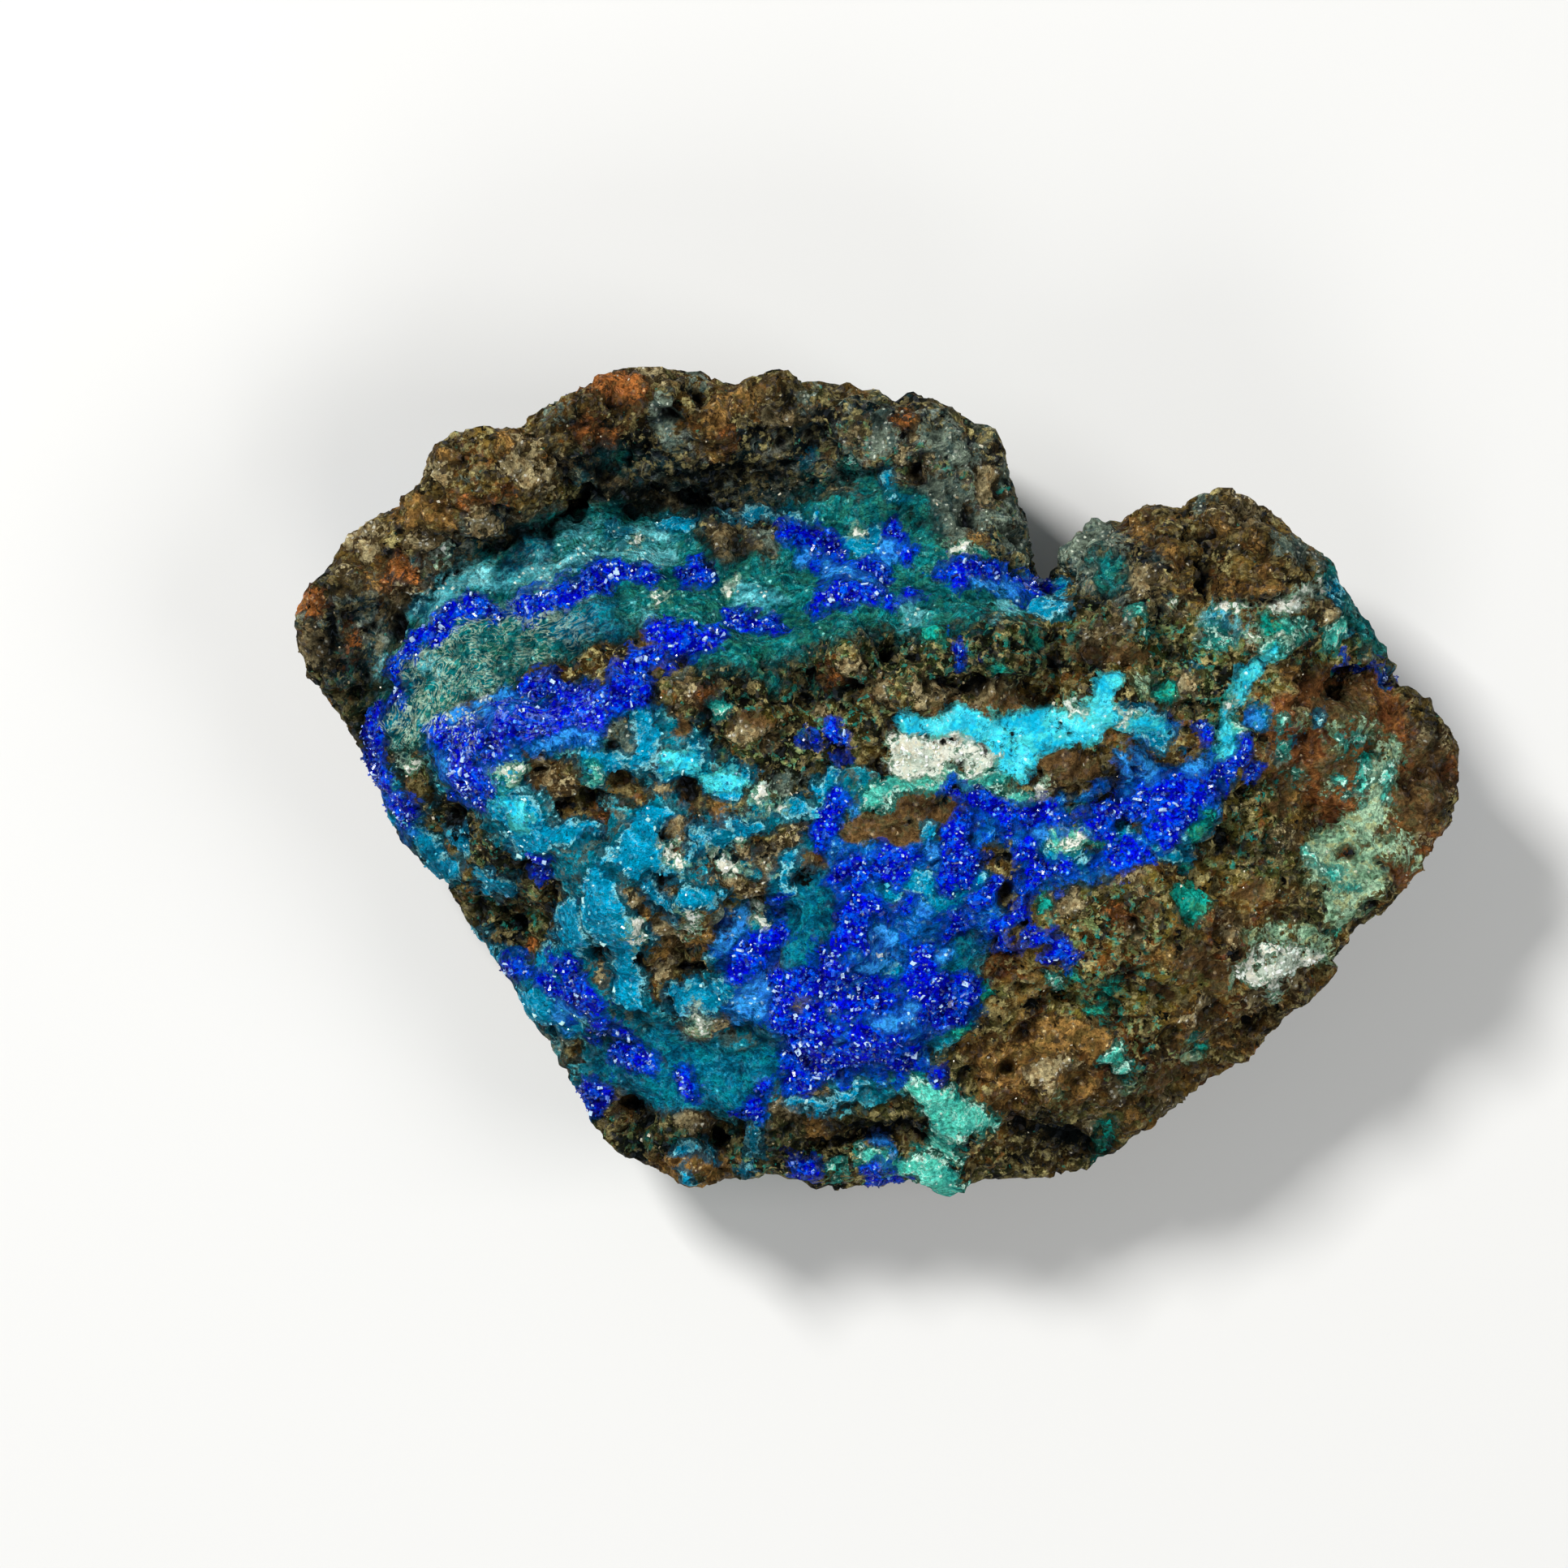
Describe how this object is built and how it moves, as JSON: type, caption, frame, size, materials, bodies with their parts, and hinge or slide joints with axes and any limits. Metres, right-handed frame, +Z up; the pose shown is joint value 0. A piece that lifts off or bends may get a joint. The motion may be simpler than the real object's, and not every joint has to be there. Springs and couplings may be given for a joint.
{
  "type": "chrysocolla and malachite specimen",
  "caption": "Irregular hand-sized mineral specimen: porous brown rock crusted with deep blue azurite, turquoise chrysocolla and green malachite, lying on a flat broken face.",
  "frame": {"origin": "middle of the plan's box, at the level of the flat face that the stone rests on", "axes": "+X along the longest side, towards the green-coated end; +Y towards the brown crown; +Z up, through the thinnest way"},
  "size_m": [0.061, 0.0436, 0.0224],
  "materials": {
    "rock": "rough porous limonite with mineral crusts"
  },
  "bodies": {
    "root": {"specimen": "rock"}
  },
  "joints": []
}
